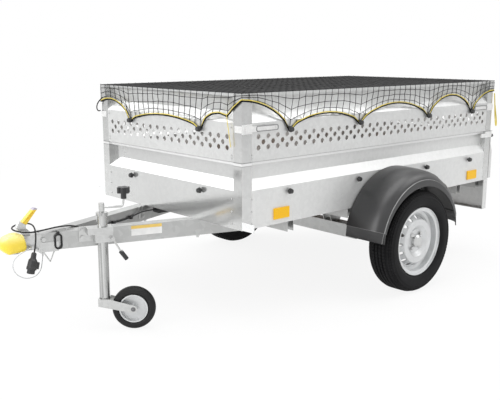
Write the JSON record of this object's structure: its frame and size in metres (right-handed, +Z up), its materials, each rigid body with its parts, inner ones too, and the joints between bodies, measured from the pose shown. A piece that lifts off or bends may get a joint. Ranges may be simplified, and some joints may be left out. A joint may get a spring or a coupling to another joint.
{
  "type": "utility trailer",
  "caption": "Single-axle utility trailer of bent galvanised sheet with a perforated wall extension, a cover net, a hinged tailgate and a jockey wheel on its V drawbar.",
  "frame": {"origin": "on the ground under the middle of the overall length, on the centre plane", "axes": "+X towards the rear, +Y towards the trailer's right side, +Z up"},
  "size_m": [2.988, 1.5998, 1.0833],
  "materials": {
    "galvanised_sheet": "bright zinc, faint spangle",
    "galvanised_frame": "dull hot-dip zinc",
    "plywood": "dark film-faced board",
    "black_plastic": "moulded, satin",
    "tyre_rubber": "matt",
    "rim_silver": "silver paint",
    "yellow_plastic": "moulded, satin",
    "amber_lens": "reflector",
    "white_lens": "reflector",
    "red_lens": "lamp lens",
    "black_net": "knotted mesh",
    "zinc_fittings": "zinc plated",
    "black_cable": "sheath",
    "steel_wire": "stranded wire, clear sheath"
  },
  "bodies": {
    "root": {"floor": "plywood", "drawbar_left": "galvanised_frame", "drawbar_right": "galvanised_frame", "cross_members": "galvanised_frame", "axle_tube": "galvanised_frame", "axle_brackets": "galvanised_frame", "beam_bolts": "zinc_fittings", "swing_arms": "galvanised_frame", "coupling_head": "zinc_fittings", "soft_dock": "yellow_plastic", "coupling_handle": "zinc_fittings", "handle_grip": "yellow_plastic", "wall_front": "galvanised_sheet", "wall_left": "galvanised_sheet", "wall_right": "galvanised_sheet", "corner_posts": "galvanised_sheet", "extension_front": "galvanised_sheet", "extension_left": "galvanised_sheet", "extension_right": "galvanised_sheet", "extension_rear": "galvanised_sheet", "extension_posts": "galvanised_sheet", "extension_latches": "zinc_fittings", "tailgate_latches": "zinc_fittings", "net_knobs": "black_plastic", "side_reflectors": "amber_lens", "front_reflectors": "white_lens", "mudguards": "black_plastic", "light_panel": "galvanised_sheet", "rear_lamps": "red_lens", "tailgate_hinges": "zinc_fittings", "jockey_clamp": "zinc_fittings", "clamp_lever": "zinc_fittings", "lighting_cable": "black_cable", "cable_plug": "black_plastic", "cable_fixings": "black_plastic", "safety_cable": "steel_wire", "safety_hook": "zinc_fittings", "safety_ferrule": "zinc_fittings", "drawbar_hook": "zinc_fittings", "drawbar_ring": "black_cable", "net_top": "black_net", "net_skirts": "black_net"},
    "tailgate_body": {"tailgate": "galvanised_sheet", "tailgate_knobs": "black_plastic", "tailgate_catches": "black_plastic"},
    "wheel_left": {"hub_left": "zinc_fittings", "rim_left": "rim_silver", "tyre_left": "tyre_rubber"},
    "wheel_right": {"hub_right": "zinc_fittings", "rim_right": "rim_silver", "tyre_right": "tyre_rubber"},
    "mast": {"jockey_tube": "zinc_fittings", "jockey_crank": "zinc_fittings", "crank_knob": "black_plastic"},
    "leg": {"jockey_leg": "zinc_fittings"},
    "fork": {"jockey_fork": "zinc_fittings"},
    "castor": {"jockey_tyre": "tyre_rubber", "jockey_rim": "rim_silver"}
  },
  "joints": [
    {"name": "wheel_left_spin", "type": "hinge", "parent": "root", "child": "wheel_left", "pos_m": [0.45, -0.72, 0.2735], "axis": [0, 1, 0], "continuous": true},
    {"name": "wheel_right_spin", "type": "hinge", "parent": "root", "child": "wheel_right", "pos_m": [0.45, 0.72, 0.2735], "axis": [0, 1, 0], "continuous": true},
    {"name": "tailgate_hinge", "type": "hinge", "parent": "root", "child": "tailgate_body", "pos_m": [1.47, 0, 0.462], "axis": [0, 1, 0], "range_deg": [0, 180]},
    {"name": "mast_slide", "type": "slide", "parent": "root", "child": "mast", "axis": [0, 0, 1], "range_m": [0, 0.12]},
    {"name": "leg_slide", "type": "slide", "parent": "mast", "child": "leg", "axis": [0, 0, -1], "range_m": [0, 0.2]},
    {"name": "fork_swivel", "type": "hinge", "parent": "leg", "child": "fork", "pos_m": [-1.07, -0.132, 0.1], "axis": [0, 0, 1], "continuous": true},
    {"name": "castor_spin", "type": "hinge", "parent": "fork", "child": "castor", "pos_m": [-0.96962, -0.21926, 0.1], "axis": [0.6561, 0.7547, 0], "continuous": true}
  ]
}
